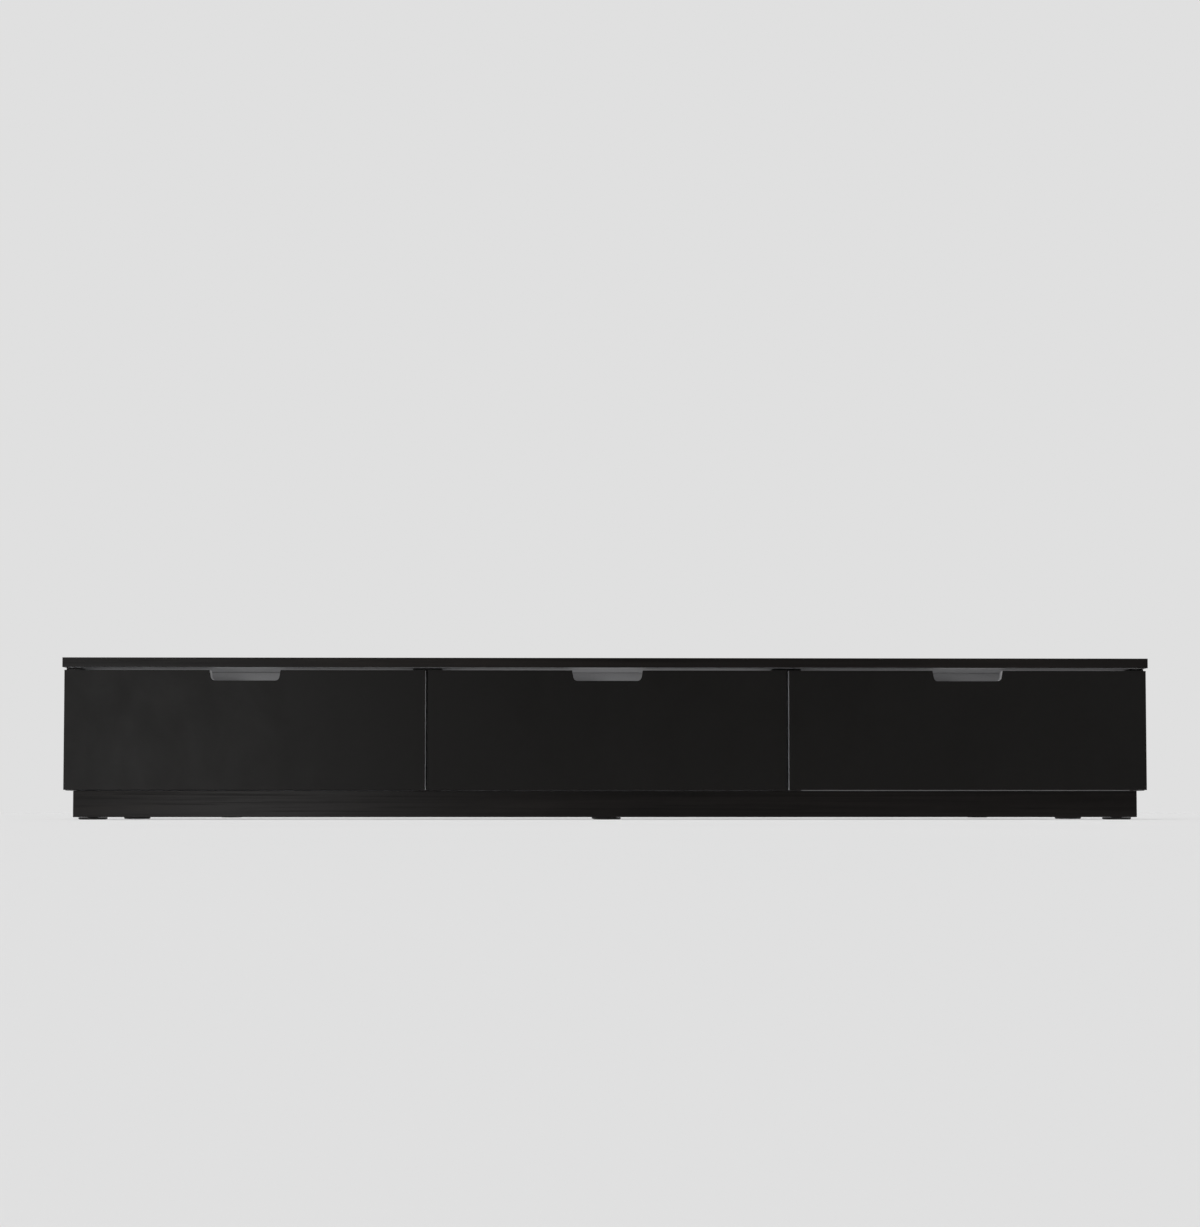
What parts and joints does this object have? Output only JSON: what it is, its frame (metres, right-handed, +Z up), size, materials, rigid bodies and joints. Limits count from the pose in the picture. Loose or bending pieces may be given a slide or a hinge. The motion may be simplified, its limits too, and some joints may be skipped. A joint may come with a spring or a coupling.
{
  "type": "dresser with drawers",
  "caption": "Long low storage unit: a thin full-length top over wide flat drawers with tapered cut-out grips, on a recessed plinth with round feet.",
  "frame": {"origin": "middle of the footprint, on the floor", "axes": "+X along the length to the right, -Y out of the drawer fronts, +Z up"},
  "size_m": [1.8, 0.4, 0.268],
  "materials": {
    "black_foil": "black-brown fine-grained foil on particleboard, satin",
    "black_front": "smooth black-brown lacquer, semi-matte, light-grey edges",
    "grey_board": "light-grey melamine board, matte",
    "hardboard": "brown hardboard, rough side out",
    "zinc_steel": "bright zinc-plated sheet",
    "black_plastic": "moulded black plastic"
  },
  "bodies": {
    "cabinet": {"top_panel": "black_foil", "back_panel": "hardboard", "plinth_front": "black_foil", "plinth_rear": "black_foil", "plinth_end_l": "black_foil", "plinth_end_r": "black_foil", "plinth_brace_l": "black_foil", "plinth_brace_r": "black_foil", "foot_front_l": "black_plastic", "foot_front_m": "black_plastic", "foot_front_r": "black_plastic", "foot_rear_l": "black_plastic", "foot_rear_m": "black_plastic", "foot_rear_r": "black_plastic", "left_bay_side_l": "black_foil", "left_bay_side_r": "black_foil", "left_bay_floor": "grey_board", "left_bay_rail": "grey_board", "left_slide_outer_l": "zinc_steel", "left_slide_outer_r": "zinc_steel", "middle_bay_side_l": "black_foil", "middle_bay_side_r": "black_foil", "middle_bay_floor": "grey_board", "middle_bay_rail": "grey_board", "middle_slide_outer_l": "zinc_steel", "middle_slide_outer_r": "zinc_steel", "right_bay_side_l": "black_foil", "right_bay_side_r": "black_foil", "right_bay_floor": "grey_board", "right_bay_rail": "grey_board", "right_slide_outer_l": "zinc_steel", "right_slide_outer_r": "zinc_steel"},
    "left_slide_middles": {"left_slide_middle_l": "zinc_steel", "left_slide_middle_r": "zinc_steel"},
    "middle_slide_middles": {"middle_slide_middle_l": "zinc_steel", "middle_slide_middle_r": "zinc_steel"},
    "right_slide_middles": {"right_slide_middle_l": "zinc_steel", "right_slide_middle_r": "zinc_steel"},
    "left_drawer": {"left_drawer_front": "black_front", "left_drawer_side_l": "grey_board", "left_drawer_side_r": "grey_board", "left_drawer_back": "grey_board", "left_drawer_bottom": "grey_board", "left_slide_inner_l": "zinc_steel", "left_slide_inner_r": "zinc_steel"},
    "middle_drawer": {"middle_drawer_front": "black_front", "middle_drawer_side_l": "grey_board", "middle_drawer_side_r": "grey_board", "middle_drawer_back": "grey_board", "middle_drawer_bottom": "grey_board", "middle_slide_inner_l": "zinc_steel", "middle_slide_inner_r": "zinc_steel"},
    "right_drawer": {"right_drawer_front": "black_front", "right_drawer_side_l": "grey_board", "right_drawer_side_r": "grey_board", "right_drawer_back": "grey_board", "right_drawer_bottom": "grey_board", "right_slide_inner_l": "zinc_steel", "right_slide_inner_r": "zinc_steel"}
  },
  "joints": [
    {"name": "left_drawer_slide", "type": "slide", "parent": "cabinet", "child": "left_drawer", "axis": [0, -1, 0], "range_m": [0, 0.34]},
    {"name": "left_middles_slide", "type": "slide", "parent": "cabinet", "child": "left_slide_middles", "axis": [0, -1, 0], "range_m": [0, 0.17]},
    {"name": "middle_drawer_slide", "type": "slide", "parent": "cabinet", "child": "middle_drawer", "axis": [0, -1, 0], "range_m": [0, 0.34]},
    {"name": "middle_middles_slide", "type": "slide", "parent": "cabinet", "child": "middle_slide_middles", "axis": [0, -1, 0], "range_m": [0, 0.17]},
    {"name": "right_drawer_slide", "type": "slide", "parent": "cabinet", "child": "right_drawer", "axis": [0, -1, 0], "range_m": [0, 0.34]},
    {"name": "right_middles_slide", "type": "slide", "parent": "cabinet", "child": "right_slide_middles", "axis": [0, -1, 0], "range_m": [0, 0.17]}
  ],
  "couplings": [
    {"joint": "left_middles_slide", "follows": "left_drawer_slide", "ratio": 0.5},
    {"joint": "middle_middles_slide", "follows": "middle_drawer_slide", "ratio": 0.5},
    {"joint": "right_middles_slide", "follows": "right_drawer_slide", "ratio": 0.5}
  ]
}
